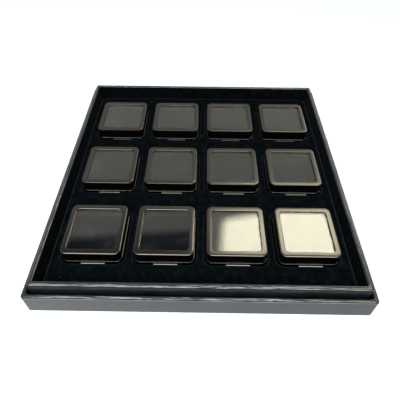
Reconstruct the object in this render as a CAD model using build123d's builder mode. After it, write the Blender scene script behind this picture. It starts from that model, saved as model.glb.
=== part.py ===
from build123d import *
import os

# Mineral specimen box: twelve small metal gem boxes with hinged, glass-topped lids stand in the cut-outs of a
# velvet pad, inside a leatherette-covered tray that stands in its own upturned lift-off cover.
# Millimetres, +Z up, origin at the middle of the footprint on the table. The front is -Y.

os.makedirs("parts", exist_ok=True)

# ---------------------------------------------------------------- driving dimensions
# Layout of the gem boxes
columns = 4
rows = 3
box_size = 40.0             # a gem box is square in plan
column_gap = 8.6            # between neighbours from left to right
row_gap = 21.5              # between neighbours from front to back, room for an opened lid
side_margin = 9.5           # from the outer boxes to the tray's left and right walls
end_margin = 20.9           # from the outer boxes to the tray's front and back walls

# Gem box: pressed sheet-metal base and lid
box_corner = 4.0            # corner radius in plan
sheet = 0.9                 # thickness of walls and floor
base_height = 8.2
lid_height = 8.0
bead_out = 0.8              # the rolled bead round the base's top stands out this far
bead_height = 0.6
tongue_height = 1.2         # the base's inner rim that the lid closes over
tongue_sheet = 0.9
tongue_root = 1.7           # overlap of the tongue on the base's wall
tongue_clearance = 0.15
border = 3.5                # width of the lid's top border round its window
border_sheet = 1.0
window_corner = 2.4
lid_edge_round = 0.6
window_bevel = 0.35
tab_width = 16.0            # thumb tab under the front of the lid
tab_reach = 1.4
tab_sheet = 0.8
tab_offset = 1.0            # the tab is a little right of the middle
tab_rise = 6.3              # underside of the tab above the box's floor
tab_corner = 0.6

# Glass and foam
glass_thickness = 1.8
glass_clearance = 0.2
foam_height = 5.4
foam_clearance = 0.3

# Hinge at the back of each gem box
pin_radius = 0.45
barrel_radius = 0.95
barrel_gap = 0.15           # between the barrel and the back wall
lid_knuckle = 10.0          # length of the lid's middle knuckle
base_knuckle = 5.0          # length of each of the base's two knuckles
knuckle_gap = 0.2
running_clearance = 0.06    # lid knuckle on the pin
seat_clearance = 0.02       # base knuckles on the pin
pin_recess = 0.3            # the pin's ends lie inside the base's knuckles
leaf = 0.7                  # thickness of the strap from the lid's wall to its knuckle

# Tray: board, leatherette outside and over the rim, velvet on the inner walls
leatherette = 0.5
velvet = 0.6
tray_board_thickness = 1.9  # the floor's board
tray_wall_board = 2.3       # the walls' board is a little thicker
tray_height = 22.2
tray_corner = 2.0           # outer corner radius in plan
rim_turn_in = 1.5           # how far the leatherette turns down inside the rim
rim_round = 0.45

# Pad with its cut-outs
pad_height = 6.8            # foam and velvet together
pad_clearance = 1.2         # between the pad and the tray's walls
pocket_clearance = 1.7      # between a gem box and its cut-out
pad_round = 0.3

# Cover: the same construction, with a velvet lining on its flat panel
cover_board_thickness = 2.1
cover_height = 17.4
cover_clearance = 1.1       # between the tray and the cover's walls
cover_corner = 2.2          # outer corner radius in plan
cover_inner_corner = 1.0    # corner radius inside the walls

# ---------------------------------------------------------------- worked-out places
tray_inside_x = columns * box_size + (columns - 1) * column_gap + 2 * side_margin
tray_inside_y = rows * box_size + (rows - 1) * row_gap + 2 * end_margin
tray_wall = leatherette + tray_wall_board + velvet
tray_x = tray_inside_x + 2 * tray_wall
tray_y = tray_inside_y + 2 * tray_wall

cover_wall = leatherette + cover_board_thickness + leatherette
cover_inside_x = tray_x + 2 * cover_clearance
cover_inside_y = tray_y + 2 * cover_clearance
cover_x = cover_inside_x + 2 * cover_wall
cover_y = cover_inside_y + 2 * cover_wall

cover_board_z = leatherette
cover_lining_z = cover_board_z + cover_board_thickness
tray_z = cover_lining_z + velvet                    # underside of the tray
tray_board_z = tray_z + leatherette
tray_floor_z = tray_board_z + tray_board_thickness  # gem boxes and pad stand here
rim_z = tray_z + tray_height
pad_top_z = tray_floor_z + pad_height

parting_z = tray_floor_z + base_height              # where the lid meets the base
lid_top_z = parting_z + lid_height
window = box_size - 2 * border
inside = box_size - 2 * sheet
inside_corner = max(box_corner - sheet, sheet / 2)
hinge_y = box_size / 2 + barrel_gap + barrel_radius  # from the middle of the gem box
barrel_relief = barrel_radius + barrel_gap
hinge_length = lid_knuckle + 2 * (knuckle_gap + base_knuckle)
pin_length = hinge_length - 2 * pin_recess

box_places = [
    (
        (column - (columns - 1) / 2) * (box_size + column_gap),
        (row - (rows - 1) / 2) * (box_size + row_gap),
    )
    for row in range(rows)
    for column in range(columns)
]


def save(piece, name):
    """Label a finished sub-part and write its STEP file."""
    piece.part.label = name
    export_step(piece.part, f"parts/{name}.step")


# ---------------------------------------------------------------- cover
with BuildPart() as cover_board:
    with BuildSketch(Plane.XY.offset(cover_board_z)):
        RectangleRounded(cover_x - 2 * leatherette, cover_y - 2 * leatherette, cover_corner - leatherette)
    extrude(amount=cover_height - 2 * leatherette)
    with BuildSketch(Plane.XY.offset(cover_lining_z)):
        RectangleRounded(
            cover_inside_x + 2 * leatherette, cover_inside_y + 2 * leatherette, cover_inner_corner + leatherette
        )
    extrude(amount=cover_height, mode=Mode.SUBTRACT)
save(cover_board, "cover_board")

with BuildPart() as cover_wrap:
    with BuildSketch():
        RectangleRounded(cover_x, cover_y, cover_corner)
    extrude(amount=cover_height)
    with BuildSketch(Plane.XY.offset(cover_lining_z)):
        RectangleRounded(cover_inside_x, cover_inside_y, cover_inner_corner)
    extrude(amount=cover_height, mode=Mode.SUBTRACT)
    rim_edges = cover_wrap.faces().sort_by(Axis.Z)[-1].edges()
    fillet(rim_edges, rim_round)
    add(cover_board.part, mode=Mode.SUBTRACT)
save(cover_wrap, "cover_wrap")

with BuildPart() as cover_lining:
    with BuildSketch(Plane.XY.offset(cover_lining_z)):
        RectangleRounded(cover_inside_x, cover_inside_y, cover_inner_corner)
    extrude(amount=velvet)
save(cover_lining, "cover_lining")

# ---------------------------------------------------------------- tray
board_inner_corner = velvet

with BuildPart() as tray_board:
    with BuildSketch(Plane.XY.offset(tray_board_z)):
        RectangleRounded(tray_x - 2 * leatherette, tray_y - 2 * leatherette, tray_corner - leatherette)
    extrude(amount=tray_height - 2 * leatherette)
    with BuildSketch(Plane.XY.offset(tray_floor_z)):
        RectangleRounded(tray_inside_x + 2 * velvet, tray_inside_y + 2 * velvet, 2 * board_inner_corner)
    extrude(amount=tray_height, mode=Mode.SUBTRACT)

with BuildPart() as tray_lining:
    with BuildSketch(Plane.XY.offset(tray_floor_z)):
        RectangleRounded(tray_inside_x + 2 * velvet, tray_inside_y + 2 * velvet, 2 * board_inner_corner)
        RectangleRounded(tray_inside_x, tray_inside_y, board_inner_corner, mode=Mode.SUBTRACT)
    extrude(amount=rim_z - rim_turn_in - tray_floor_z)

with BuildPart() as tray_wrap:
    with BuildSketch(Plane.XY.offset(tray_z)):
        RectangleRounded(tray_x, tray_y, tray_corner)
    extrude(amount=tray_height)
    with BuildSketch(Plane.XY.offset(tray_floor_z)):
        RectangleRounded(tray_inside_x, tray_inside_y, board_inner_corner)
    extrude(amount=tray_height, mode=Mode.SUBTRACT)
    rim_edges = tray_wrap.faces().sort_by(Axis.Z)[-1].edges()
    fillet(rim_edges, rim_round)
    add(tray_board.part, mode=Mode.SUBTRACT)
    add(tray_lining.part, mode=Mode.SUBTRACT)
save(tray_board, "tray_board")
save(tray_lining, "tray_lining")
save(tray_wrap, "tray_wrap")

# ---------------------------------------------------------------- pad
pad_x = tray_inside_x - 2 * pad_clearance
pad_y = tray_inside_y - 2 * pad_clearance
pocket = box_size + 2 * pocket_clearance
pocket_corner = box_corner + pocket_clearance

with BuildPart() as pad_foam:
    with BuildSketch(Plane.XY.offset(tray_floor_z)):
        Rectangle(pad_x - 2 * velvet, pad_y - 2 * velvet)
        with Locations(*box_places):
            RectangleRounded(pocket, pocket, pocket_corner, mode=Mode.SUBTRACT)
    extrude(amount=pad_height - velvet)
save(pad_foam, "pad_foam")

with BuildPart() as pad_velvet:
    with BuildSketch(Plane.XY.offset(tray_floor_z)):
        Rectangle(pad_x, pad_y)
    extrude(amount=pad_height)
    fillet(pad_velvet.faces().sort_by(Axis.Z)[-1].edges(), pad_round)
    with BuildSketch(Plane.XY.offset(tray_floor_z)):
        Rectangle(pad_x - 2 * velvet, pad_y - 2 * velvet)
    extrude(amount=pad_height - velvet, mode=Mode.SUBTRACT)
    with BuildSketch(Plane.XY.offset(tray_floor_z)):
        with Locations(*box_places):
            RectangleRounded(pocket, pocket, pocket_corner)
    extrude(amount=pad_height, mode=Mode.SUBTRACT)
save(pad_velvet, "pad_velvet")

# ---------------------------------------------------------------- gem boxes
tongue_outer = box_size - 2 * sheet - 2 * tongue_clearance
tongue_inner = inside - 2 * tongue_sheet
tongue_corner = max(inside_corner - tongue_sheet, sheet / 2)
glass_size = inside - 2 * glass_clearance
foam_size = inside - 2 * foam_clearance

for number, (x, y) in enumerate(box_places, start=1):
    back = y + hinge_y
    floor_plane = Plane((x, y, tray_floor_z))
    hinge_plane = Plane(origin=(x, back, parting_z), x_dir=(0, 1, 0), z_dir=(1, 0, 0))

    with BuildPart() as gem_base:
        with BuildSketch(floor_plane):
            RectangleRounded(box_size, box_size, box_corner)
        extrude(amount=base_height)
        with BuildSketch(floor_plane.offset(base_height - bead_height)):
            RectangleRounded(box_size + 2 * bead_out, box_size + 2 * bead_out, box_corner + bead_out)
        extrude(amount=bead_height)
        # thumb tab
        with BuildSketch(floor_plane.offset(tab_rise)):
            with Locations((tab_offset, -(box_size + tab_reach - box_corner) / 2)):
                RectangleRounded(tab_width, tab_reach + box_corner, tab_corner)
        extrude(amount=tab_sheet)
        # room for the lid's knuckle
        with BuildSketch(hinge_plane.offset(-lid_knuckle / 2 - knuckle_gap)):
            Circle(barrel_relief)
        extrude(amount=lid_knuckle + 2 * knuckle_gap, mode=Mode.SUBTRACT)
        # the base's own two knuckles, each with a strap down to the bead
        for side in (-1, 1):
            start = side * (lid_knuckle / 2 + knuckle_gap + base_knuckle / 2) - base_knuckle / 2
            with BuildSketch(hinge_plane.offset(start)):
                Circle(barrel_radius)
                with Locations((-(barrel_radius + barrel_gap) / 2, -leaf / 2)):
                    Rectangle(barrel_radius + barrel_gap, leaf)
            extrude(amount=base_knuckle)
        # hollow and tongue
        with BuildSketch(floor_plane.offset(sheet)):
            RectangleRounded(inside, inside, inside_corner)
        extrude(amount=base_height, mode=Mode.SUBTRACT)
        with BuildSketch(floor_plane.offset(base_height - tongue_root)):
            RectangleRounded(inside, inside, inside_corner)
            RectangleRounded(tongue_inner, tongue_inner, tongue_corner, mode=Mode.SUBTRACT)
        extrude(amount=tongue_root)
        with BuildSketch(floor_plane.offset(base_height)):
            RectangleRounded(tongue_outer, tongue_outer, inside_corner - tongue_clearance)
            RectangleRounded(tongue_inner, tongue_inner, tongue_corner, mode=Mode.SUBTRACT)
        extrude(amount=tongue_height)
        # bore of the knuckles, with the hinge pin as a solid of its own in it
        with BuildSketch(hinge_plane.offset(-hinge_length / 2)):
            Circle(pin_radius + seat_clearance)
        extrude(amount=hinge_length, mode=Mode.SUBTRACT)
        with BuildSketch(hinge_plane.offset(-pin_length / 2)):
            Circle(pin_radius)
        extrude(amount=pin_length)
    save(gem_base, f"gem_base_{number:02d}")

    with BuildPart() as gem_foam:
        with BuildSketch(floor_plane.offset(sheet)):
            RectangleRounded(foam_size, foam_size, inside_corner)
        extrude(amount=foam_height)
    save(gem_foam, f"gem_foam_{number:02d}")

    with BuildPart() as gem_lid:
        with BuildSketch(floor_plane.offset(base_height)):
            RectangleRounded(box_size, box_size, box_corner)
        extrude(amount=lid_height)
        fillet(gem_lid.faces().sort_by(Axis.Z)[-1].edges(), lid_edge_round)
        with BuildSketch(floor_plane.offset(base_height)):
            RectangleRounded(inside, inside, inside_corner)
        extrude(amount=lid_height - border_sheet, mode=Mode.SUBTRACT)
        with BuildSketch(floor_plane.offset(base_height + lid_height - border_sheet)):
            RectangleRounded(window, window, window_corner)
        extrude(amount=border_sheet, mode=Mode.SUBTRACT)
        top_face = gem_lid.faces().filter_by(Axis.Z).sort_by(Axis.Z)[-1]
        chamfer(top_face.inner_wires()[0].edges(), window_bevel)
        # middle knuckle, strapped to the lid's back wall
        with BuildSketch(hinge_plane.offset(-lid_knuckle / 2)):
            Circle(barrel_radius)
            with Locations((-(barrel_radius + barrel_gap + sheet) / 2, leaf / 2)):
                Rectangle(barrel_radius + barrel_gap + sheet, leaf)
        extrude(amount=lid_knuckle)
        with BuildSketch(hinge_plane.offset(-lid_knuckle / 2)):
            Circle(pin_radius + running_clearance)
        extrude(amount=lid_knuckle, mode=Mode.SUBTRACT)
    save(gem_lid, f"gem_lid_{number:02d}")

    with BuildPart() as gem_glass:
        with BuildSketch(floor_plane.offset(base_height + lid_height - border_sheet - glass_thickness)):
            RectangleRounded(glass_size, glass_size, inside_corner)
        extrude(amount=glass_thickness)
    save(gem_glass, f"gem_glass_{number:02d}")

print("cover", round(cover_x, 2), round(cover_y, 2), "tray", round(tray_x, 2), round(tray_y, 2))
print("heights: cover rim", cover_height, "pad", pad_top_z, "lid", lid_top_z, "tray rim", rim_z)
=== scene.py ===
# %% [markdown]
# # A mineral specimen box
#
# The object is a shallow tray covered in charcoal leatherette and lined with black velvet. A velvet pad in it has
# twelve cut-outs, and a small gunmetal gem box with a hinged, glass-topped lid stands in each. The tray itself
# stands in the case's own cover, turned over.
#
# Each cell makes one piece or one finish, in metres, in the frame that the solid model gives. A piece is made where
# it belongs, and is then told which moving body it rides on, so that the tray and the gem boxes lift, and the lids
# swing, with all that is on them.

# %% Load the frame
import math

import bmesh
import bpy
from mathutils import Matrix, Vector


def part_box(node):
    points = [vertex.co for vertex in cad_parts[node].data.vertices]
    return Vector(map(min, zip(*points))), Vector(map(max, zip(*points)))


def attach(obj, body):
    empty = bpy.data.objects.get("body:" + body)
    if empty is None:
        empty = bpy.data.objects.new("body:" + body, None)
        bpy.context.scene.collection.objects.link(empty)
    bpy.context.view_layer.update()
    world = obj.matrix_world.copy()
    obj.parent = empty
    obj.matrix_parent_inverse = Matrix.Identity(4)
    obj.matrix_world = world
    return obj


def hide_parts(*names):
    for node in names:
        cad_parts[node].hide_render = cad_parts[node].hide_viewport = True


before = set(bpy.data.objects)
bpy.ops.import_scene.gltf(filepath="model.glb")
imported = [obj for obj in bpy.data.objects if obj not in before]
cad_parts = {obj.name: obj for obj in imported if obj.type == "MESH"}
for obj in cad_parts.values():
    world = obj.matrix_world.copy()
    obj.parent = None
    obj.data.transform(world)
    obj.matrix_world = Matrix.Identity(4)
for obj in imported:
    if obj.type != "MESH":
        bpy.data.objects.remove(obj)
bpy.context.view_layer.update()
MM = 0.001

# %% [markdown]
# ## Sizes
#
# The solid model already holds the sizes that matter, so the script reads them from its pieces. It only names what
# a piece's outline doesn't tell, such as the thickness of a sheet or the radius of a corner.

# %% Sizes read from the frame
BOXES = range(1, 13)
cover_low, cover_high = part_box("cover_wrap")
tray_low, tray_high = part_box("tray_wrap")
lining_low, lining_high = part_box("tray_lining")
cover_lining_low, cover_lining_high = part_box("cover_lining")
pad_low, pad_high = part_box("pad_velvet")
foam_low, foam_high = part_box("gem_foam_01")
lid_low, lid_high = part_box("gem_lid_01")

box_size = lid_high.x - lid_low.x
box_middles = []
for number in BOXES:
    low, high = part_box(f"gem_glass_{number:02d}")
    box_middles.append(((low.x + high.x) / 2, (low.y + high.y) / 2))
first = box_middles[0]
floor_z = pad_low.z
lid_height = 8.0 * MM
parting_z = lid_high.z - lid_height
print("gem box", round(box_size / MM, 2), "floor", round(floor_z / MM, 2), "parting", round(parting_z / MM, 2))

# %% Thicknesses and corner radii
leatherette_skin = 0.5 * MM
velvet_skin = 0.6 * MM
tray_board_wall = 2.3 * MM
cover_board_wall = 2.1 * MM
tray_corner = 2.0 * MM
cover_corner = 2.2 * MM
cover_inner_corner = 1.0 * MM
box_corner = 4.0 * MM
sheet = 0.9 * MM
print("walls, mm: tray", round((leatherette_skin + tray_board_wall + velvet_skin) / MM, 2),
      "cover", round((2 * leatherette_skin + cover_board_wall) / MM, 2), "gem box", round(sheet / MM, 2))

# %% [markdown]
# ## Shaping by rings
#
# Almost everything here is a square with rounded corners: a wrap, a lid, a base, a lining. Each could be a cube that
# is inset and extruded many times, but one way of modelling serves them all and gives every level its own size and
# corner. A plane is added and its four corners are bevelled, which leaves one rounded square. Its face is deleted,
# and the loop of edges that stays is a ring. Rings at other sizes and heights follow, and each is bridged to the one
# before it, like the hoops of a barrel. The edges of a ring are rounded afterwards, with a bevel.
#
# An operator works on whatever is selected, so `clear_selection` or `select_only` comes before each new piece, and
# `pick` selects points, edges or faces in code, by where they are, as a person would click on them.

# %% Helpers for selecting
TOUCH = 0.004 * MM  # two places nearer than this are one


def clear_selection():
    """Leave nothing selected, so that the next operator only touches what it adds."""
    bpy.ops.object.select_all(action="DESELECT")


def select_only(piece):
    """Select piece alone, and make it the one that operators work on."""
    clear_selection()
    piece.select_set(True)
    bpy.context.view_layer.objects.active = piece


def edit(piece):
    """Go into edit mode on piece, with nothing selected."""
    select_only(piece)
    bpy.ops.object.mode_set(mode="EDIT")
    bpy.ops.mesh.select_mode(type="EDGE")
    bpy.ops.mesh.select_all(action="DESELECT")


def leave_edit():
    bpy.ops.object.mode_set(mode="OBJECT")


def pick(piece, kind, wanted):
    """In edit mode, select the VERT, EDGE or FACE elements whose points satisfy wanted(points), and count them."""
    mesh = bmesh.from_edit_mesh(piece.data)
    bpy.ops.mesh.select_mode(type=kind)
    found = 0
    for element in {"VERT": mesh.verts, "EDGE": mesh.edges, "FACE": mesh.faces}[kind]:
        points = [element.co] if kind == "VERT" else [vertex.co for vertex in element.verts]
        chosen = bool(wanted(points))
        element.select_set(chosen)
        found += chosen
    mesh.select_flush_mode()
    bmesh.update_edit_mesh(piece.data)
    return found


# %% Helpers for rings
CORNER_STEPS = 8


def square_distance(point, ring, middle):
    """How far a point lies outside a ring's rounded square, in plan. Inside, the number is negative."""
    size, corner = ring[:2]
    past = [abs(point[axis] - middle[axis]) - (size / 2 - corner) for axis in (0, 1)]
    return math.hypot(max(past[0], 0), max(past[1], 0)) + min(max(past), 0) - corner


def on_ring(points, ring, middle=(0, 0)):
    """Whether every point lies on the ring."""
    return all(
        abs(point.z - ring[2]) < TOUCH and abs(square_distance(point, ring, middle)) < TOUCH for point in points
    )


def add_ring(ring, middle):
    """In edit mode, add a rounded square as a loop of edges."""
    size, corner, height = ring
    bpy.ops.mesh.select_all(action="DESELECT")
    bpy.ops.mesh.primitive_plane_add(size=size, location=(middle[0], middle[1], height))
    bpy.ops.mesh.bevel(offset=corner, segments=CORNER_STEPS, affect="VERTICES")
    pick(bpy.context.object, "FACE", lambda points: len(points) > 4)
    bpy.ops.mesh.delete(type="ONLY_FACE")


# %% A skin made of rings
def shell_of_rings(name, rings, middle=(0, 0), closed=False):
    """Bridge rings, each (size, corner radius, height), into one closed skin.
    closed joins the last ring to the first; otherwise the first and the last ring are filled with a face."""
    mesh = bpy.data.meshes.new(name)
    piece = bpy.data.objects.new(name, mesh)
    bpy.context.collection.objects.link(piece)
    edit(piece)
    add_ring(rings[0], middle)
    for before, after in zip(rings, rings[1:]):
        # two loops in one plane confuse the bridge, so the new one starts a little higher
        lift = 0.37 * MM if abs(after[2] - before[2]) < TOUCH else 0.0
        raised = (after[0], after[1], after[2] + lift)
        add_ring(raised, middle)
        pick(piece, "EDGE", lambda ends: on_ring(ends, before, middle) or on_ring(ends, raised, middle))
        bpy.ops.mesh.bridge_edge_loops()
        if lift:
            pick(piece, "VERT", lambda points: on_ring(points, raised, middle))
            bpy.ops.transform.translate(value=(0, 0, -lift))
    if closed:
        pick(piece, "EDGE", lambda ends: on_ring(ends, rings[0], middle) or on_ring(ends, rings[-1], middle))
        bpy.ops.mesh.bridge_edge_loops()
    else:
        for end in (rings[0], rings[-1]):
            pick(piece, "EDGE", lambda ends: on_ring(ends, end, middle))
            bpy.ops.mesh.edge_face_add()
    bpy.ops.mesh.select_all(action="SELECT")
    bpy.ops.mesh.normals_make_consistent(inside=False)
    leave_edit()
    return piece


def round_ring(piece, ring, radius, middle=(0, 0), steps=3):
    """Round the edges of one ring."""
    edit(piece)
    pick(piece, "EDGE", lambda ends: on_ring(ends, ring, middle))
    bpy.ops.mesh.bevel(offset=radius, segments=steps, affect="EDGES")
    leave_edit()


# %% Helpers for bars and rods
def place_at_origin(piece):
    """Move piece's place and turn into its mesh."""
    select_only(piece)
    bpy.ops.object.transform_apply(location=True, rotation=True, scale=True)


def bar(name, size, middle):
    """A rectangular bar."""
    clear_selection()
    bpy.ops.mesh.primitive_cube_add(size=1, location=middle, scale=size)
    piece = bpy.context.object
    piece.name = piece.data.name = name
    place_at_origin(piece)
    return piece


def rod(name, radius, length, middle):
    """A round rod along X."""
    clear_selection()
    bpy.ops.mesh.primitive_cylinder_add(
        vertices=20, radius=radius, depth=length, location=middle, rotation=(0, math.pi / 2, 0)
    )
    piece = bpy.context.object
    piece.name = piece.data.name = name
    place_at_origin(piece)
    return piece


# %% Helpers for modifiers
def apply_modifier(piece, kind, **settings):
    """Give piece one modifier and apply it."""
    select_only(piece)
    modifier = piece.modifiers.new(kind.lower(), kind)
    for key, value in settings.items():
        setattr(modifier, key, value)
    bpy.ops.object.modifier_apply(modifier=modifier.name)


def carve(piece, cutter):
    """Take cutter's space out of piece, and delete cutter."""
    apply_modifier(piece, "BOOLEAN", operation="DIFFERENCE", solver="EXACT", object=cutter)
    bpy.data.objects.remove(cutter)


def weld(piece, other):
    """Make other part of piece, as one closed skin, and delete it."""
    apply_modifier(piece, "BOOLEAN", operation="UNION", solver="EXACT", object=other)
    bpy.data.objects.remove(other)


def smooth(piece):
    """Shade piece smoothly over its rounded edges, and keep its large flat faces flat."""
    select_only(piece)
    bpy.ops.object.shade_smooth_by_angle(angle=math.radians(40))
    apply_modifier(piece, "WEIGHTED_NORMAL", keep_sharp=True)


# %% Helpers for finished pieces
def dress(piece, material, slot, body, *nodes):
    """Give piece its material, the body it rides on and the solids that it stands for. slot is not used."""
    piece.data.materials.clear()
    piece.data.materials.append(material)
    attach(piece, body)
    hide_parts(*nodes)


def one_for_each_box(piece, name):
    """Give piece, made at the first gem box, and then a copy of it, with its own mesh, at each of the others."""
    for number, (x, y) in zip(BOXES, box_middles):
        twin = piece
        if number > 1:
            twin = bpy.data.objects.new(f"{name}_{number:02d}", piece.data.copy())
            bpy.context.collection.objects.link(twin)
            twin.data.transform(Matrix.Translation((x - first[0], y - first[1], 0)))
        yield number, twin


# %% [markdown]
# ## Camera
#
# The camera looks down on the tray from in front, and stands near enough for the front edge to look much longer than
# the back one. Turning the camera would move the object up or down in its view, but would also change how the sides
# lean, so a small shift of the lens does it instead.

# %% Camera
camera_data = bpy.data.cameras.new("camera")
camera_data.sensor_width = 36.0
camera_data.lens = 34.986
camera_data.shift_x = -0.005
camera_data.shift_y = -0.13
camera_data.clip_start = 0.01
camera = bpy.data.objects.new("camera", camera_data)
camera.location = (0.0015, -0.21618, 0.2478)
camera.rotation_euler = [math.radians(angle) for angle in (46.21, -0.341, 0.723)]
bpy.context.collection.objects.link(camera)
bpy.context.scene.camera = camera
bpy.context.scene.view_settings.view_transform = "Standard"
print("camera at", [round(v, 3) for v in camera.location])

# %% [markdown]
# ## Materials
#
# A finish starts from what the real one is. `shade` makes a material with one Principled shader, `add_node` adds a
# node with its settings and links, `feed` links what the nodes give to the shader, and `colour` turns a hex value, as
# read off a screen, into the linear value that the shader works with. Pattern sizes are given in millimetres and
# turned into a texture's scale.

# %% Helpers for materials
def colour(hex_value):
    """A linear RGBA value from an sRGB hex one."""
    channels = [int(hex_value[i : i + 2], 16) / 255 for i in (1, 3, 5)]
    linear = [c / 12.92 if c <= 0.04045 else ((c + 0.055) / 1.055) ** 2.4 for c in channels]
    return (*linear, 1.0)


def per_mm(size):
    """The scale at which a texture on Object coordinates, in metres, repeats about every size millimetres."""
    return 1.0 / (size * MM)


def add_node(owner, kind, inputs=(), stops=(), **settings):
    """Add a node to a material or the world, set its properties, and fill its inputs with values or with other
    nodes' outputs. stops are a colour ramp's positions and hex colours."""
    tree = owner.node_tree
    made = tree.nodes.new(kind)
    for key, value in settings.items():
        setattr(made, key, value)
    for key, value in dict(inputs).items():
        if isinstance(value, bpy.types.NodeSocket):
            tree.links.new(value, made.inputs[key])
        else:
            made.inputs[key].default_value = value
    if stops:
        elements = made.color_ramp.elements
        while len(elements) < len(stops):
            elements.new(0.5)
        for element, (position, hex_value) in zip(elements, stops):
            element.position = position
            element.color = colour(hex_value)
    return made


def shade(name, **inputs):
    """A new material: returns it, its Principled shader and its Object coordinates."""
    material = bpy.data.materials.new(name)
    material.use_nodes = True
    shader = material.node_tree.nodes["Principled BSDF"]
    for key, value in inputs.items():
        shader.inputs[key.replace("_", " ")].default_value = value
    place = add_node(material, "ShaderNodeTexCoord").outputs["Object"]
    return material, shader, place


def feed(material, shader, **outputs):
    """Link nodes' outputs to the shader's inputs."""
    for key, output in outputs.items():
        material.node_tree.links.new(output, shader.inputs[key.replace("_", " ")])
    print("material", material.name, "with", len(material.node_tree.nodes), "nodes")


# %% [markdown]
# ### Leatherette
#
# Bookbinder's leatherette is a PU film on paper or cloth, embossed with a fine pebble grain. The film is charcoal,
# nearly black, and slightly cool. Most of what the eye gets from it is gloss: a bright line along a rolled edge, and
# a pale sheen where it is seen at a low angle. The gloss changes from speck to speck, which gives that line its
# sparkle, and where the film is pulled over a rim it wrinkles along the rim.
#
# The pebbles could be real geometry, but they are far too small and many, so they are bump from a smooth Voronoi
# texture. A real pebble is about 0.5 mm, and it is drawn somewhat coarser so that it shows. The wrinkles follow the
# film, so they read two attributes that the wraps below fill in: `film`, a point's place on the flat sheet, and
# `roll_share`, which keeps them on the rim.

# %% Leatherette
cloud_size, speck_size, pebble_size = 14, 1.2, 0.9  # mm
wrinkle_along, wrinkle_across = 16, 1.8  # mm
pebble_depth = 0.022 * MM
wrinkle_depth = 0.55 * MM

leatherette, leatherette_shader, place = shade("pu_leatherette", Roughness=0.3, IOR=1.5)
clouds = add_node(leatherette, "ShaderNodeTexNoise", {"Vector": place, "Scale": per_mm(cloud_size), "Detail": 3.0})
specks = add_node(leatherette, "ShaderNodeTexNoise", {"Vector": place, "Scale": per_mm(speck_size), "Detail": 2.0})
mottle = add_node(leatherette, "ShaderNodeMath", {
    0: clouds.outputs["Fac"], 1: specks.outputs["Fac"]}, operation="ADD")
mottle = add_node(leatherette, "ShaderNodeMapRange", {"Value": mottle.outputs[0], "To Min": 0.0, "To Max": 0.5})
charcoal = add_node(leatherette, "ShaderNodeValToRGB", {"Fac": mottle.outputs[0]}, stops=[
    (0.36, "#0a0f12"), (0.5, "#171e23"), (0.66, "#2e3a42")])
gloss = add_node(leatherette, "ShaderNodeMapRange", {
    "Value": specks.outputs["Fac"], "To Min": 0.13, "To Max": 0.26})
pebbles = add_node(leatherette, "ShaderNodeTexVoronoi", {
    "Vector": place, "Scale": per_mm(pebble_size)}, feature="SMOOTH_F1")
grain = add_node(leatherette, "ShaderNodeBump", {
    "Height": pebbles.outputs["Distance"], "Distance": -pebble_depth, "Strength": 0.5})
stretched = add_node(leatherette, "ShaderNodeVectorMath", {
    0: add_node(leatherette, "ShaderNodeAttribute", attribute_name="film").outputs["Vector"],
    1: (per_mm(wrinkle_along), per_mm(wrinkle_across), 1.0)}, operation="MULTIPLY")
wrinkles = add_node(leatherette, "ShaderNodeTexNoise", {
    "Vector": stretched.outputs[0], "Scale": 1.0, "Detail": 2.0})
on_roll = add_node(leatherette, "ShaderNodeAttribute", attribute_name="roll_share")
wrinkles = add_node(leatherette, "ShaderNodeMath", {
    0: wrinkles.outputs["Fac"], 1: on_roll.outputs["Fac"]}, operation="MULTIPLY")
relief = add_node(leatherette, "ShaderNodeBump", {
    "Height": wrinkles.outputs[0], "Distance": wrinkle_depth, "Strength": 1.0, "Normal": grain.outputs["Normal"]})
feed(leatherette, leatherette_shader, Base_Color=charcoal.outputs["Color"], Roughness=gloss.outputs[0],
     Normal=relief.outputs["Normal"])

# %% [markdown]
# ### Velvet
#
# Flocked velvet is short black nylon fibre standing on end. It traps nearly all the light, so it is the blackest
# thing here, with a very faint cool bloom where the pile leans and a few specks of lint. Hair strands would be true
# to it, but a fibre is under 0.05 mm, so the pile is a rough surface without a highlight, with a little sheen, and
# with bump as coarse as a tuft of fibres. Where it bends over the pad's edges, the sheen of the pile is painted into
# its colour as a paler tone, and an attribute, which the pad below fills in, says where.

# %% Velvet
lean_size, tuft_size, lint_spacing = 6, 0.7, 11  # mm
lint_core, lint_edge = 0.012, 0.022  # as shares of the spacing
tuft_depth = 0.25 * MM

velvet, velvet_shader, place = shade(
    "flocked_velvet", Roughness=1.0, Specular_IOR_Level=0.0,
    Sheen_Weight=0.06, Sheen_Roughness=0.25, Sheen_Tint=colour("#d7e4ee"),
)
leaning = add_node(velvet, "ShaderNodeTexNoise", {
    "Vector": place, "Scale": per_mm(lean_size), "Detail": 6.0, "Roughness": 0.7})
black = add_node(velvet, "ShaderNodeValToRGB", {"Fac": leaning.outputs["Fac"]}, stops=[
    (0.35, "#05090c"), (0.55, "#0b1013"), (0.75, "#181e22")])
lint = add_node(velvet, "ShaderNodeTexVoronoi", {"Vector": place, "Scale": per_mm(lint_spacing)})
dots = add_node(velvet, "ShaderNodeMapRange", {
    "Value": lint.outputs["Distance"], "From Min": lint_core, "From Max": lint_edge, "To Min": 1.0, "To Max": 0.0})
with_lint = add_node(velvet, "ShaderNodeMix", {
    "Factor": dots.outputs[0], "A": black.outputs["Color"], "B": colour("#6d7275")}, data_type="RGBA")
# the pale colour on the pad's bent edges is painted sheen of the pile
painted_edge_sheen = add_node(velvet, "ShaderNodeAttribute", attribute_name="painted_edge_sheen")
with_painted_sheen = add_node(velvet, "ShaderNodeMix", {
    "Factor": painted_edge_sheen.outputs["Fac"], "A": with_lint.outputs["Result"], "B": colour("#4a5359")}, data_type="RGBA")
tufts = add_node(velvet, "ShaderNodeTexNoise", {"Vector": place, "Scale": per_mm(tuft_size), "Detail": 3.0})
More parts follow.
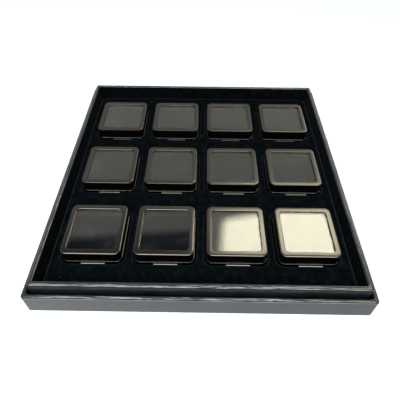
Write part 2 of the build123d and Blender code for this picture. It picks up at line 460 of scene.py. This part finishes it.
relief = add_node(velvet, "ShaderNodeBump", {
    "Height": tufts.outputs["Fac"], "Distance": tuft_depth, "Strength": 0.5})
feed(velvet, velvet_shader, Base_Color=with_painted_sheen.outputs["Result"], Normal=relief.outputs["Normal"])

# %% [markdown]
# ### Gunmetal
#
# The gem boxes are pressed tinplate with a black nickel plating. It is a true metal, dark and a little warm, so its
# colour is the colour of its reflections, and a fine satin grain blurs them. The grain could be an anisotropic
# brushing, but the plating has no direction, so it is noise in the roughness and a trace of bump. A real grain is
# about 0.1 mm, and it is drawn coarser so that it shows.

# %% Gunmetal
satin_size = 0.8  # mm
satin_depth = 0.004 * MM

gunmetal, gunmetal_shader, place = shade(
    "black_nickel_plating", Metallic=1.0, Roughness=0.2, Base_Color=colour("#4a4946"))
satin = add_node(gunmetal, "ShaderNodeTexNoise", {"Vector": place, "Scale": per_mm(satin_size), "Detail": 3.0})
blur = add_node(gunmetal, "ShaderNodeMapRange", {"Value": satin.outputs["Fac"], "To Min": 0.16, "To Max": 0.26})
relief = add_node(gunmetal, "ShaderNodeBump", {
    "Height": satin.outputs["Fac"], "Distance": satin_depth, "Strength": 0.3})
feed(gunmetal, gunmetal_shader, Roughness=blur.outputs[0], Normal=relief.outputs["Normal"])

# %% [markdown]
# ### Glass
#
# Each window is a square of float glass. The eye gets two things from it: a sharp reflection of what hangs over the
# table, and through it the black foam. A transparent colour would lose the mirror, so it is full transmission at the
# index of window glass, and broad faint smears, as from fingers, take a little of the clearness away.

# %% Glass
smear_size = 16  # mm

window_glass, glass_shader, place = shade("float_glass", Roughness=0.0, IOR=1.5)
smears = add_node(window_glass, "ShaderNodeTexNoise", {"Vector": place, "Scale": per_mm(smear_size), "Detail": 4.0})
clear = add_node(window_glass, "ShaderNodeMapRange", {
    "Value": smears.outputs["Fac"], "From Min": 0.5, "From Max": 0.8, "To Min": 1.0, "To Max": 0.985})
tint = add_node(window_glass, "ShaderNodeValToRGB", {"Fac": smears.outputs["Fac"]}, stops=[
    (0.0, "#f4f7f5"), (1.0, "#ffffff")])
feed(window_glass, glass_shader, Transmission_Weight=clear.outputs[0], Base_Color=tint.outputs["Color"])

# %% [markdown]
# ### Foam
#
# The inserts are black polyurethane foam, cut from a block. The knife opens its cells, so it is matt and full of tiny
# pits. Voronoi cells give the pits in bump, and paint the shade in them into the colour, darker towards each middle.

# %% Foam
cell_size = 0.8  # mm
cell_depth = 0.3 * MM

foam, foam_shader, place = shade("black_foam", Roughness=0.95, Specular_IOR_Level=0.0)
cells = add_node(foam, "ShaderNodeTexVoronoi", {"Vector": place, "Scale": per_mm(cell_size)})
# darker towards each cell's middle: painted shade in the pits
painted_pit_shade = add_node(foam, "ShaderNodeValToRGB", {"Fac": cells.outputs["Distance"]}, stops=[
    (0.1, "#050607"), (0.6, "#141617")])
relief = add_node(foam, "ShaderNodeBump", {
    "Height": cells.outputs["Distance"], "Distance": cell_depth, "Strength": 0.7})
feed(foam, foam_shader, Base_Color=painted_pit_shade.outputs["Color"], Normal=relief.outputs["Normal"])

# %% [markdown]
# ### Board
#
# Bookbinder's greyboard is pressed from waste paper: matt, warm grey, with a felt of short fibres. The tray's board
# is dyed black, because its floor shows in the pad's pockets. Both are the same pattern between two tones.

# %% Boards' finishes
fibre_size = 1.5  # mm


def board_finish(name, dark, pale, **inputs):
    """Pressed board between two tones."""
    board, board_shader, place = shade(name, **inputs)
    fibres = add_node(board, "ShaderNodeTexNoise", {"Vector": place, "Scale": per_mm(fibre_size), "Detail": 6.0})
    tones = add_node(board, "ShaderNodeValToRGB", {"Fac": fibres.outputs["Fac"]}, stops=[(0.3, dark), (0.7, pale)])
    feed(board, board_shader, Base_Color=tones.outputs["Color"])
    return board


greyboard = board_finish("greyboard", "#7c766c", "#979187", Roughness=0.9)
black_board = board_finish("dyed_black_board", "#08090a", "#111315", Roughness=0.95, Specular_IOR_Level=0.1)

# %% [markdown]
# ## The leatherette wraps
#
# Tray and cover are board shells with leatherette glued round them. The sheet on the walls turns over the rim and
# down inside, and the rim is a soft roll, because the film bridges the board's sharp edge. A second layer of film
# begins on the wall just below the roll, and leaves a fine groove there.
#
# A bevel on a plain box would give an even round, so the roll is drawn instead as a row of rings, from the inside of
# the wall over the top and down to the groove. Each is a pair of numbers: how far in, and how far below the top.

# %% The section of a rolled rim
def in_mm(*pairs):
    return [(inset * MM, drop * MM) for inset, drop in pairs]


rim_inside = in_mm((0.0, 0.9), (0.15, 0.5), (0.5, 0.2), (1.05, 0.04))
cover_roll = in_mm(
    (2.2, 0.0), (1.8, 0.1), (1.5, 0.24), (1.2, 0.4), (0.98, 0.56),  # the roll
    (0.82, 0.72), (0.86, 0.86), (0.8, 1.0), (0.24, 0.74), (0.05, 0.92),  # the groove, and the skirt's edge
)
tray_roll = in_mm(
    (2.1, 0.0), (1.75, 0.12), (1.4, 0.32), (1.1, 0.5), (0.8, 0.68), (0.55, 0.84),
    (0.42, 0.96), (0.47, 1.08), (0.47, 1.62), (0.05, 1.54),
)
ripple_room = 0.12 * MM  # the rim starts this much lower, as the ripples rise above it
board_gap = 0.6 * MM  # the board stops this far below the film
least_corner = 0.3 * MM  # no ring on the roll has a sharper corner


def wrap_rings(low, high, wall, corners, board, turned_to, roll):
    """The rings of one wrap, from the sheet's upper side under the board, up over the rim and down the outside.
    corners are the outer and inner radius, board is the size and radius of the board's own inside, and turned_to is
    the height down to which the film is turned in."""
    outside = high.x - low.x
    corner, inner_corner = corners
    skin = leatherette_skin
    rings = [
        (outside - 2 * skin, corner - skin, low.z + skin),
        (outside - 2 * skin, corner - skin, high.z - skin - board_gap),
        (*board, high.z - skin - board_gap),
        (*board, turned_to),
        (outside - 2 * wall, inner_corner, turned_to),
    ]
    top = high.z - ripple_room
    for inset, drop in rim_inside:
        rings.append((outside - 2 * (wall - inset), inner_corner + inset, top - drop))
    for inset, drop in roll:
        rings.append((outside - 2 * inset, corner - min(inset, corner - least_corner), top - drop))
    last_inset = roll[-1][0]
    rings.append((outside - 2 * last_inset, corner - last_inset, low.z))
    return rings


# %% [markdown]
# ### Film that ripples
#
# Glued film is never quite straight along a rim. Two cloud textures push the rim's points in and out along their
# normals, in long shallow waves and short ones, and a vertex group keeps this on the roll. The straight walls need
# points to move, so they are first cut across. Before the film ripples each point is also given its place on the
# flat sheet, and the material's wrinkles follow that.

# %% Film on a rim
roll_drop, groove_drop = 0.4 * MM, 1.0 * MM  # the roll and the groove end this far below the top
ripples = [(11 * MM, 0.32 * MM), (4 * MM, 0.14 * MM)]  # the length and the height of the waves
skirt_edge = 0.3 * MM  # the wall outside this isn't part of the roll
foot_round = 0.4 * MM
wall_step = 2 * MM


def divide_walls(piece, spacing):
    """Cut the long straight walls across, so that they have points to move."""
    edit(piece)
    half = max(v.co.x for v in piece.data.vertices)
    pick(piece, "EDGE", lambda ends: (ends[0] - ends[1]).length > half)
    bpy.ops.mesh.subdivide(number_cuts=round(2 * half / spacing) - 1)
    leave_edit()


def lay_out_film(piece, rim):
    """Give each point its place on the flat film: how far along the rim, and how far across it from the inside.
    roll_share is 1 on the roll and in the groove, and 0 elsewhere."""
    half = max(v.co.x for v in piece.data.vertices)
    places, shares = [], []
    for vertex in piece.data.vertices:
        x, y, z = vertex.co
        if abs(x) > abs(y):
            along = half - y if x < 0 else 5 * half + y
        else:
            along = 3 * half + x if y < 0 else 7 * half - x
        out = max(abs(x), abs(y))
        places += [along, out + rim - z, 0]
        shares.append(1.0 if rim - z < groove_drop and out < half - skirt_edge else 0.0)
    # one attribute at a time, as making the second moves the first
    piece.data.attributes.new("film", "FLOAT_VECTOR", "POINT").data.foreach_set("vector", places)
    piece.data.attributes.new("roll_share", "FLOAT", "POINT").data.foreach_set("value", shares)


def ripple(piece, rim):
    """Let the sheet on the rim ripple: most on the roll, half as much in the groove."""
    roll = piece.vertex_groups.new(name="roll")
    for vertex in piece.data.vertices:
        drop = rim - vertex.co.z
        if drop < groove_drop:
            roll.add([vertex.index], 1.0 if drop < roll_drop else 0.5, "REPLACE")
    for length, height in ripples:
        texture = bpy.data.textures.new("ripple", "CLOUDS")
        texture.noise_scale = length
        texture.noise_depth = 1
        # with its middle above one half, the film sinks more than it swells
        apply_modifier(
            piece, "DISPLACE", texture=texture, texture_coords="LOCAL", direction="NORMAL",
            mid_level=0.62, strength=height, vertex_group="roll",
        )


def wrapped_shell(name, rings):
    """Make a wrap from its rings, round its foot, and let the film on its rim ripple."""
    piece = shell_of_rings(name, rings)
    rim = max(ring[2] for ring in rings)
    round_ring(piece, rings[-1], foot_round)
    divide_walls(piece, wall_step)
    lay_out_film(piece, rim)
    ripple(piece, rim)
    smooth(piece)
    print(name, "has", len(piece.data.polygons), "faces")
    return piece


# %% [markdown]
# ### The two wraps
#
# The cover's film is turned in all the way down its inner walls to the panel. The tray's is turned in only a little,
# down to where the velvet on the inner walls begins.

# %% The cover's wrap
cover_inside = cover_high.x - cover_low.x - 2 * (leatherette_skin + cover_board_wall)
cover_board_corner = cover_inner_corner + leatherette_skin
cover_board_floor = cover_low.z + leatherette_skin + cover_board_wall
cover = wrapped_shell("cover_leatherette", wrap_rings(
    cover_low, cover_high, 2 * leatherette_skin + cover_board_wall, (cover_corner, cover_inner_corner),
    (cover_inside, cover_board_corner), cover_board_floor, cover_roll,
))
dress(cover, leatherette, "leatherette", "cover", "cover_wrap")

# %% The tray's wrap
lining_outer = lining_high.x - lining_low.x
lining_outer_corner = 2 * velvet_skin
rim_turn_in = 1.5 * MM
tray = wrapped_shell("tray_leatherette", wrap_rings(
    tray_low, tray_high, leatherette_skin + tray_board_wall + velvet_skin, (tray_corner, velvet_skin),
    (lining_outer, lining_outer_corner), tray_high.z - rim_turn_in, tray_roll,
))
dress(tray, leatherette, "leatherette", "tray", "tray_wrap")

# %% [markdown]
# ## The boards
#
# The stiff core of the cover and of the tray is a panel with four walls glued up on it. It is die-cut board, and its
# cut edge is crushed a little where the film is pulled over it, so it stops short of the roll. Nothing of it shows
# but the tray's floor, through the pockets of the pad. Two rings up the outside and two down the inside make it.

# %% The boards
board_drop = leatherette_skin + board_gap


def board_shell(name, low, high, corner, inside, inside_corner, floor_top):
    """A board tray that fills the space inside a wrap."""
    outside = high.x - low.x - 2 * leatherette_skin
    piece = shell_of_rings(name, [
        (outside, corner - leatherette_skin, low.z + leatherette_skin),
        (outside, corner - leatherette_skin, high.z - board_drop),
        (inside, inside_corner, high.z - board_drop),
        (inside, inside_corner, floor_top),
    ])
    print(name, "has", len(piece.data.polygons), "faces")
    return piece


cover_core = board_shell(
    "cover_greyboard", cover_low, cover_high, cover_corner, cover_inside, cover_board_corner, cover_board_floor)
dress(cover_core, greyboard, "board", "cover", "cover_board")
tray_core = board_shell(
    "tray_greyboard", tray_low, tray_high, tray_corner, lining_outer, lining_outer_corner, lining_low.z)
dress(tray_core, black_board, "board", "tray", "tray_board")

# %% [markdown]
# ## Velvet linings
#
# A strip of velvet lines the tray's inner walls up to the turned-in leatherette, and another piece lies on the
# cover's flat panel, under the tray. A strip all round is four rings, the last joined to the first. Its inner upper
# edge is rounded, as a cut edge of pile is.

# %% Linings
pile_round = 0.25 * MM
lining_inner = lining_outer - 2 * velvet_skin
lining_rings = [
    (lining_outer, lining_outer_corner, lining_high.z),
    (lining_inner, velvet_skin, lining_high.z),
    (lining_inner, velvet_skin, lining_low.z),
    (lining_outer, lining_outer_corner, lining_low.z),
]
lining = shell_of_rings("tray_velvet", lining_rings, closed=True)
round_ring(lining, lining_rings[1], pile_round)
dress(lining, velvet, "velvet", "tray", "tray_lining")
smooth(lining)

under_size = cover_lining_high.x - cover_lining_low.x - 0.2 * MM
under_corner = 3.5 * MM
under_rings = [
    (under_size, under_corner, cover_lining_low.z),
    (under_size, under_corner, cover_lining_high.z),
]
under = shell_of_rings("cover_velvet", under_rings)
round_ring(under, under_rings[1], pile_round)
dress(under, velvet, "velvet", "cover", "cover_lining")
smooth(under)
print("linings:", len(lining.data.polygons), "and", len(under.data.polygons), "faces")

# %% [markdown]
# ## The pad
#
# The pad is foam under velvet, with a cut-out for each gem box. It starts as a plate with twelve blocks taken out of
# it. Bevels would leave every edge equally round, so a voxel remesh gives it an even skin of small faces instead, and
# smoothing then rounds its edges and corners as pulled velvet does. Where the velvet bends over an edge, a paler
# tone is painted on as the sheen of its pile, most of all round the pad's outside, and an attribute says where.

# %% Pad
pad_size = pad_high.x - pad_low.x
pad_corner = 4.0 * MM
pad = shell_of_rings("velvet_pad", [(pad_size, pad_corner, pad_low.z), (pad_size, pad_corner, pad_high.z)])
pocket_clearance = 1.7 * MM
pocket = box_size + 2 * pocket_clearance
past_pad = 2 * MM
for middle in box_middles:
    carve(pad, shell_of_rings("cut", [
        (pocket, box_corner + pocket_clearance, pad_low.z - past_pad),
        (pocket, box_corner + pocket_clearance, pad_high.z + past_pad),
    ], middle))
select_only(pad)
pad.data.remesh_voxel_size = 1.0 * MM
bpy.ops.object.voxel_remesh()
apply_modifier(pad, "SMOOTH", factor=0.5, iterations=6)
print("pad:", len(pad.data.polygons), "faces")

# %% Painted sheen on the pad's edges
outer_band = 2.5 * MM
# painted sheen: a paler colour where the velvet bends over the pad's edges, strongest round its outside
painted_sheen_share = pad.data.attributes.new("painted_edge_sheen", "FLOAT", "POINT")
for vertex, normal in zip(pad.data.vertices, pad.data.vertex_normals):
    outer = max(abs(vertex.co.x), abs(vertex.co.y)) > pad_size / 2 - outer_band
    level = normal.vector.z  # 1 on top and 0 on a wall; the product below is largest half-way between
    painted_sheen_share.data[vertex.index].value = (0.9 if outer else 0.25) * max(0.0, 4 * level * (1 - level))
dress(pad, velvet, "velvet", "tray", "pad_foam", "pad_velvet")
select_only(pad)
bpy.ops.object.shade_smooth()
print("palest pile:", round(max(share.value for share in painted_sheen_share.data), 2))

# %% [markdown]
# ## The lids
#
# A lid is one pressing: a shallow cup with a window cut in its top, whose edges are rolled over. Its border falls
# very slightly towards the outside, so the reflection on it changes, and the pressed outer edge catches a bright
# line. The rings go once round its section, from the window over the border, down the wall and back inside.

# %% Lid
border = 3.5 * MM
window = box_size - 2 * border
window_corner = 2.4 * MM
border_sheet = 1.0 * MM
top = lid_high.z


def box_ring(inset, height):
    """A ring of a gem box, this far in from its outside."""
    return (box_size - 2 * inset, box_corner - inset, height)


lid_rings = [
    (window, window_corner, top - 0.24 * MM),  # the window's rolled edge
    (window + 0.36 * MM, window_corner + 0.18 * MM, top - 0.03 * MM),
    (window + 0.7 * MM, window_corner + 0.35 * MM, top),
    box_ring(1.7 * MM, top),  # the border
    box_ring(1.0 * MM, top - 0.02 * MM),
    box_ring(0.5 * MM, top - 0.06 * MM),
    box_ring(0.27 * MM, top - 0.13 * MM),  # the pressed outer edge
    box_ring(0.0, top - 0.38 * MM),
    box_ring(0.0, parting_z),  # the wall's foot
    box_ring(sheet, parting_z),
    box_ring(sheet, top - border_sheet),  # inside
    (window, window_corner, top - border_sheet),
]
lid_foot = lid_rings[8]
lid = shell_of_rings("lid_01", lid_rings, first, closed=True)
round_ring(lid, lid_foot, 0.2 * MM, first, steps=2)
print("lid:", len(lid.data.polygons), "faces before its knuckle")

# %% [markdown]
# ### The lid's knuckle, and twelve lids
#
# The lid turns on a pin at the back. One long knuckle in the middle is the lid's, and two short ones beside it are
# the base's. A knuckle is a rod on a short strap, welded on by a Boolean union, and then bored, a little wider than
# the pin. The finished lid is then copied to the other gem boxes.

# %% The lid's knuckle, and twelve lids
hinge_back = 21.1 * MM  # from the middle of the gem box
hinge = (first[0], first[1] + hinge_back, parting_z)
knuckle_radius = 0.95 * MM
lid_knuckle = 10 * MM
lid_strap = (lid_knuckle, 1.6 * MM, 0.6 * MM)
lid_bore = 0.51 * MM
weld(lid, bar("strap", lid_strap, (hinge[0], hinge[1] - 0.8 * MM, hinge[2] + 0.31 * MM)))
weld(lid, rod("knuckle", knuckle_radius, lid_knuckle, hinge))
carve(lid, rod("bore", lid_bore, 11 * MM, hinge))
smooth(lid)
for number, twin in one_for_each_box(lid, "lid"):
    dress(twin, gunmetal, "gunmetal", f"lid_{number:02d}", f"gem_lid_{number:02d}")
print("lid:", len(lid.data.polygons), "faces")

# %% [markdown]
# ## The bases
#
# A base is the lower half of the gem box: a floor and walls of pressed sheet, a fine bead rolled outwards below its
# rim, and an inner rim, the tongue, that the lid closes over. Rings again go round its section, from the outside of
# the floor up over the bead and the tongue and down to the inside of the floor.

# %% Base
bead_out = 0.3 * MM
bead_top = parting_z - 1.2 * MM
bead_under = bead_top - 0.6 * MM
tongue = box_size - 2 * sheet - 0.3 * MM
tongue_corner = box_corner - sheet - 0.15 * MM
tongue_top = parting_z + 1.2 * MM
tongue_root = parting_z - 1.7 * MM
base_rings = [
    box_ring(0.0, floor_z),
    box_ring(0.0, bead_under),
    box_ring(-bead_out, bead_under),
    box_ring(-bead_out, bead_top),
    box_ring(0.0, bead_top),
    box_ring(0.0, parting_z),
    (tongue, tongue_corner, parting_z),
    (tongue, tongue_corner, tongue_top),
    box_ring(2 * sheet, tongue_top),
    box_ring(2 * sheet, tongue_root),
    box_ring(sheet, tongue_root),
    box_ring(sheet, floor_z + sheet),
]
base = shell_of_rings("base_01", base_rings, first)
round_ring(base, base_rings[3], 0.22 * MM, first)  # the bead's upper edge
round_ring(base, base_rings[2], 0.12 * MM, first, steps=2)  # the bead's lower edge
round_ring(base, base_rings[0], 0.6 * MM, first)  # the floor's outer edge
print("base:", len(base.data.polygons), "faces before its hinge and tab")

# %% [markdown]
# ### The base's knuckles
#
# Two short knuckles come beside the lid's, on straps, and are bored to fit the pin closely. The pin is far enough
# behind the wall for the lid's knuckle to turn clear of it.

# %% The base's knuckles
base_knuckle = 5 * MM
knuckle_side = 7.7 * MM  # from the hinge's middle to the middle of each short knuckle
base_strap = (4.9 * MM, 2.2 * MM, 0.24 * MM)
base_bore = 0.47 * MM
for side in (-1, 1):
    knuckle_x = hinge[0] + side * knuckle_side
    knuckle = rod("knuckle", knuckle_radius, base_knuckle, (knuckle_x, hinge[1], hinge[2]))
    strap = bar("strap", base_strap, (knuckle_x, hinge[1] - 1.1 * MM, hinge[2] - 0.4 * MM))
    weld(base, strap)
    weld(base, knuckle)
carve(base, rod("bore", base_bore, 21 * MM, hinge))
print("base:", len(base.data.polygons), "faces with its knuckles")

# %% [markdown]
# ### The thumb tab
#
# A small tab at the front gives the thumb a hold. It is a bar with its front upper edge chamfered, and the chamfer
# catches the light as a short bright line. A narrow bevel then breaks all its edges.

# %% Thumb tab
tab_size = (16 * MM, 2.0 * MM, 0.8 * MM)
tab_reach = 1.5 * MM
tab_aside = 1 * MM
tab_chamfer = 0.42 * MM
tab_edge = 0.08 * MM
tab_front = first[1] - box_size / 2 - tab_reach
tab_top = parting_z - 2.0 * MM
tab = bar("tab", tab_size, (first[0] + tab_aside, tab_front + tab_size[1] / 2, tab_top - tab_size[2] / 2))
edit(tab)
pick(tab, "EDGE", lambda ends: all(end.z > tab_top - TOUCH and end.y < tab_front + TOUCH for end in ends))
bpy.ops.mesh.bevel(offset=tab_chamfer, segments=1, affect="EDGES")
# the chamfer's lower edge moves up a little, which makes it less steep
pick(tab, "VERT", lambda points: points[0].y < tab_front + TOUCH and points[0].z > tab_top - 0.7 * MM)
bpy.ops.transform.translate(value=(0, 0, 0.08 * MM))
leave_edit()
apply_modifier(tab, "BEVEL", width=tab_edge, segments=2, limit_method="ANGLE", angle_limit=math.radians(30))
weld(base, tab)
print("base:", len(base.data.polygons), "faces with its tab")

# %% [markdown]
# ### The pin, and twelve bases
#
# The pin almost fills the knuckles' bores, and two skins that nearly touch are a poor pair for a Boolean. So it is
# joined to the base as a second closed skin of the same mesh, and rides with it.

# %% The pin, and twelve bases
pin_radius, pin_length = 0.45 * MM, 19.8 * MM
pin = rod("pin", pin_radius, pin_length, hinge)
select_only(base)
pin.select_set(True)
bpy.ops.object.join()
smooth(base)
for number, twin in one_for_each_box(base, "base"):
    dress(twin, gunmetal, "gunmetal", f"gem_box_{number:02d}", f"gem_base_{number:02d}")
print("base:", len(base.data.polygons), "faces")

# %% [markdown]
# ## Foam inserts
#
# A square of soft foam lies in each gem box. It is cut a little large, so its edges pull in and its middle swells. A
# cloth simulation would do that too, but the form is simple: a plate is remeshed and smoothed, and its middle is
# then raised with proportional editing, which takes the points around along with it.

# %% Foam insert
foam_size = foam_high.x - foam_low.x
foam_corner = 2.5 * MM
crown = 0.5 * MM
crown_core, crown_reach = 3 * MM, 16 * MM
insert = shell_of_rings("foam_01", [
    (foam_size, foam_corner, foam_low.z), (foam_size, foam_corner, foam_high.z - crown),
], first)
select_only(insert)
insert.data.remesh_voxel_size = 1.2 * MM
bpy.ops.object.voxel_remesh()
apply_modifier(insert, "SMOOTH", factor=0.5, iterations=5)
edit(insert)
raised = pick(insert, "VERT", lambda points: points[0].z > foam_high.z - crown - 0.3 * MM
              and math.dist(points[0].xy, first) < crown_core)
bpy.ops.transform.translate(
    value=(0, 0, crown), use_proportional_edit=True, proportional_size=crown_reach,
    proportional_edit_falloff="SMOOTH",
)
leave_edit()
bpy.ops.object.shade_smooth()
for number, twin in one_for_each_box(insert, "foam"):
    dress(twin, foam, "foam", f"gem_box_{number:02d}", f"gem_foam_{number:02d}")
print("foam insert:", len(insert.data.polygons), "faces,", raised, "points raised, top",
      round(max(v.co.z for v in insert.data.vertices) / MM, 2))

# %% [markdown]
# ## The windows
#
# A pane of glass is flat and square, and the solid model's own panes are already right. So they stay as they are and
# only get the glass.

# %% Windows
for number in BOXES:
    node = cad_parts[f"gem_glass_{number:02d}"]
    node.data.materials.clear()
    node.data.materials.append(window_glass)
print("glazed", len(BOXES), "windows")

# %% [markdown]
# ## Light
#
# A plain white studio. The world gives soft light from all round at a modest level, but the camera, what shines and
# what is seen through all see it as plain white. The Light Path node tells these rays apart.

# %% World
AMBIENT = 0.35
world = bpy.data.worlds.new("studio")
bpy.context.scene.world = world
world.use_nodes = True
background = world.node_tree.nodes["Background"]
background.inputs["Color"].default_value = (1, 1, 1, 1)
path = add_node(world, "ShaderNodeLightPath")
seen = add_node(world, "ShaderNodeMath", {
    0: path.outputs["Is Camera Ray"], 1: path.outputs["Is Glossy Ray"]}, operation="MAXIMUM")
seen = add_node(world, "ShaderNodeMath", {
    0: seen.outputs[0], 1: path.outputs["Is Transmission Ray"]}, operation="MAXIMUM")
strength = add_node(world, "ShaderNodeMapRange", {"Value": seen.outputs[0], "To Min": AMBIENT, "To Max": 1.0})
world.node_tree.links.new(strength.outputs[0], background.inputs["Strength"])
print("ambient light", AMBIENT)

# %% [markdown]
# ### The floor
#
# The floor is matt pale paint, and it has to look white and still hold the object's shadow. More light would bleach
# the object as well, so the paint glows a little instead, and only for rays from the camera, from gloss or through
# glass. What gloss and glass see of that glow fades from left to right across the object, as if the room were darker
# there, which keeps the right-hand walls dark.

# %% Floor
FLOOR_GLOW = 0.38
fade_half = 0.13  # metres to each side of the middle
clear_selection()
bpy.ops.mesh.primitive_plane_add(size=6, location=(0, 0, -0.0002))  # a hair under the object
floor = bpy.context.object
floor.name = "floor"
floor_paint, paint_shader, place = shade(
    "white_floor", Roughness=1.0, Specular_IOR_Level=0.0,
    Base_Color=(0.8, 0.84, 0.87, 1), Emission_Color=(0.9, 0.97, 1.0, 1),
)
path = add_node(floor_paint, "ShaderNodeLightPath")
mirrored = add_node(floor_paint, "ShaderNodeMath", {
    0: path.outputs["Is Glossy Ray"], 1: path.outputs["Is Transmission Ray"]}, operation="MAXIMUM")
across = add_node(floor_paint, "ShaderNodeSeparateXYZ", {0: place})
fading = add_node(floor_paint, "ShaderNodeMapRange", {
    "Value": across.outputs["X"], "From Min": -fade_half, "From Max": fade_half,
    "To Min": FLOOR_GLOW, "To Max": 0.0})
fading = add_node(floor_paint, "ShaderNodeMath", {
    0: fading.outputs[0], 1: mirrored.outputs[0]}, operation="MULTIPLY")
white = add_node(floor_paint, "ShaderNodeMath", {
    0: path.outputs["Is Camera Ray"], 1: FLOOR_GLOW}, operation="MULTIPLY")
glow = add_node(floor_paint, "ShaderNodeMath", {0: fading.outputs[0], 1: white.outputs[0]}, operation="MAXIMUM")
feed(floor_paint, paint_shader, Emission_Strength=glow.outputs[0])
floor.data.materials.append(floor_paint)

# %% [markdown]
# ### Cards for the gloss
#
# Black film, dark plating and glass are seen by what they mirror, so the studio hangs cards round the object. Each is
# a plane that glows, and that turns into its surroundings softly at its sides. It is hidden from the camera and from
# diffuse rays, so it shows in gloss and glass but lights nothing, and the object's light stays plain.

# %% How a card is hung
def hang(name, size, place, radiance, sides=(), around=(0, 0, 0), look_at=None):
    """Hang a card, flat like a ceiling unless it looks at a point. radiance is its red, green and blue.
    Each side is (direction in degrees, distance, fade): past that distance from its middle, over the width of the
    fade, it turns into around."""
    clear_selection()
    bpy.ops.mesh.primitive_plane_add(size=1)
    card = bpy.context.object
    card.name = name
    card.scale = (size[0], size[1], 1)
    bpy.ops.object.transform_apply(location=False, rotation=False, scale=True)
    card.location = place
    if look_at is not None:
        card.rotation_euler = (Vector(look_at) - Vector(place)).to_track_quat("-Z", "Y").to_euler()
    material = bpy.data.materials.new(name)
    material.use_nodes = True
    material.node_tree.nodes.clear()
    across = add_node(material, "ShaderNodeTexCoord").outputs["Object"]
    level = 1.0
    for degrees, distance, fade in sides:
        turn = math.radians(degrees)
        along = add_node(material, "ShaderNodeVectorMath", {
            0: across, 1: (math.cos(turn), math.sin(turn), 0)}, operation="DOT_PRODUCT")
        step = add_node(material, "ShaderNodeMapRange", {
            "Value": along.outputs["Value"], "From Min": distance - fade / 2, "From Max": distance + fade / 2,
            "To Min": 1.0, "To Max": 0.0}, interpolation_type="SMOOTHSTEP")
        level = add_node(material, "ShaderNodeMath", {0: step.outputs[0], 1: level}, operation="MULTIPLY").outputs[0]
    light = add_node(material, "ShaderNodeVectorMath", {
        0: level if sides else (1, 1, 1), 1: [full - edge for full, edge in zip(radiance, around)],
        2: around}, operation="MULTIPLY_ADD")
    emission = add_node(material, "ShaderNodeEmission", {"Color": light.outputs[0]})
    add_node(material, "ShaderNodeOutputMaterial", {"Surface": emission.outputs[0]})
    card.data.materials.append(material)
    card.visible_camera = False
    card.visible_shadow = False
    card.visible_diffuse = False
    print("hung", name)


# %% [markdown]
# ### The five cards
#
# The ceiling is what the flat lids and most windows mirror. A wide soft box in front draws the bright line along each
# rounded front edge. A warm panel hangs high behind on the right, and a dark card high on the left, and the windows
# of the front row mirror both. A side panel on the right lights the edges that turn that way.

# %% The five cards
CEILING = (0.8, 0.8, 0.74)
hang("ceiling", (3.6, 2.6), (0, 1.4, 0.9), CEILING)
hang("soft_box", (1.4, 0.8), (0.0, -0.93, 0.68), (12.8, 12.4, 11.3),
     sides=[(0, 0.65, 0.1), (180, 0.65, 0.1), (90, 0.28, 0.6)], around=(1, 1, 1), look_at=(0, 0, 0.02))
hang("warm_panel", (0.56, 0.34), (0.27, 0.50, 0.82), (11.2, 10.45, 8.1),
     sides=[(175, 0.203, 0.045), (102.7, 0.067, 0.05), (-90, 0.108, 0.025), (90, 0.15, 0.04), (0, 0.24, 0.04)],
     around=(1.1, 1.05, 0.95))
hang("side_panel", (0.9, 1.3), (0.92, 0.85, 0.86), (4.5, 4.1, 3.5),
     sides=[(180, 0.4, 0.1), (90, 0.6, 0.1)], around=CEILING)
hang("dark_card", (0.75, 0.36), (-0.35, 0.34, 0.80), (0.06, 0.08, 0.1),
     sides=[(95.3, 0.100, 0.04), (-90, 0.1, 0.01), (0, 0.34, 0.04), (180, 0.36, 0.02)],
     around=(0.7, 0.7, 0.66))

# %% [markdown]
# ### The key light
#
# One large lamp in front, a little to the left, adds to the diffuse light and casts the soft shadow on the floor.
# Gloss and glass don't see it, because the soft box already stands for it there.

# %% Key light
clear_selection()
bpy.ops.object.light_add(type="AREA", location=(-0.1, -0.7, 1.0))
key = bpy.context.object
key.name = "key_light"
key.data.size = 0.9
key.data.energy = 16.0
key.rotation_euler = (Vector((0, 0, 0)) - key.location).to_track_quat("-Z", "Y").to_euler()
key.visible_glossy = False
key.visible_transmission = False
print("key light", key.data.energy, "W")
